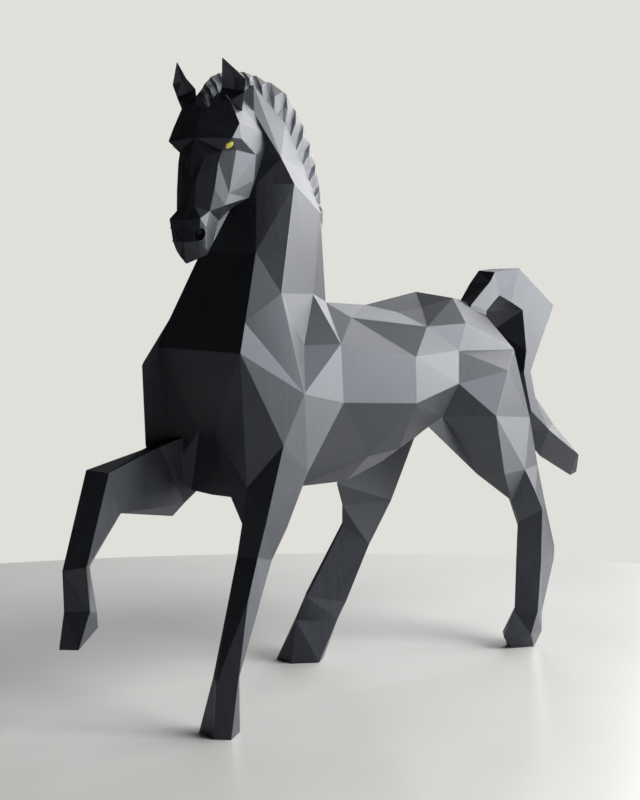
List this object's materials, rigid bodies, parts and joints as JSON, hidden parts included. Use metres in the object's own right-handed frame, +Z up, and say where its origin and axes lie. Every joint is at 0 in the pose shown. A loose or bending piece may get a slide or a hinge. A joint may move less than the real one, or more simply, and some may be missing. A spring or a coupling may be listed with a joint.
{
  "type": "geometric horse sculpture",
  "caption": "Faceted walking horse sculpture with one foreleg raised, cropped mane and arched tail, free standing on its hoofs.",
  "frame": {"origin": "middle of the bounding box on the plane the hoofs stand on", "axes": "+X the way the horse walks, +Y its left side, +Z up"},
  "size_m": [0.551, 0.13, 0.457],
  "materials": {
    "black_resin": "satin black with brushed streaks"
  },
  "bodies": {
    "root": {"horse": "black_resin"}
  },
  "joints": []
}
